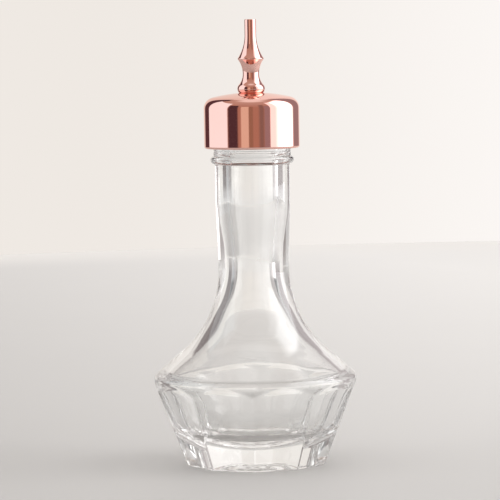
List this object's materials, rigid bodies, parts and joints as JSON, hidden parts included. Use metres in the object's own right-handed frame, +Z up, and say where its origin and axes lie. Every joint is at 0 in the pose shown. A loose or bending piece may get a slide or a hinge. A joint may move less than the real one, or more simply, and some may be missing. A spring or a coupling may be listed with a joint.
{
  "type": "bitters bottle",
  "caption": "Small clear glass bottle with a ten-sided foot and slender neck, stoppered by a copper cap with a slim turned spout that lets out drops.",
  "frame": {"origin": "centre of the foot, on the surface that the bottle stands on", "axes": "+Z up along the bottle's axis towards the spout's tip; a corner of the ten-sided foot faces -Y"},
  "size_m": [0.0662, 0.0662, 0.145],
  "materials": {
    "clear_glass": "pressed clear soda-lime glass, fire polished",
    "copper_plate": "polished rose copper plate",
    "disc_plastic": "natural white polypropylene",
    "stopper_silicone": "translucent white silicone",
    "fastener_steel": "stainless steel"
  },
  "bodies": {
    "bottle": {"glass_bottle": "clear_glass"},
    "dasher": {"cap_shell": "copper_plate", "spout": "copper_plate", "backing_disc": "disc_plastic", "stopper": "stopper_silicone", "clamp_washer": "fastener_steel", "clamp_nut": "fastener_steel"}
  },
  "joints": [
    {"name": "dasher_pull", "type": "slide", "parent": "bottle", "child": "dasher", "axis": [0, 0, 1], "range_m": [0, 0.03]}
  ]
}
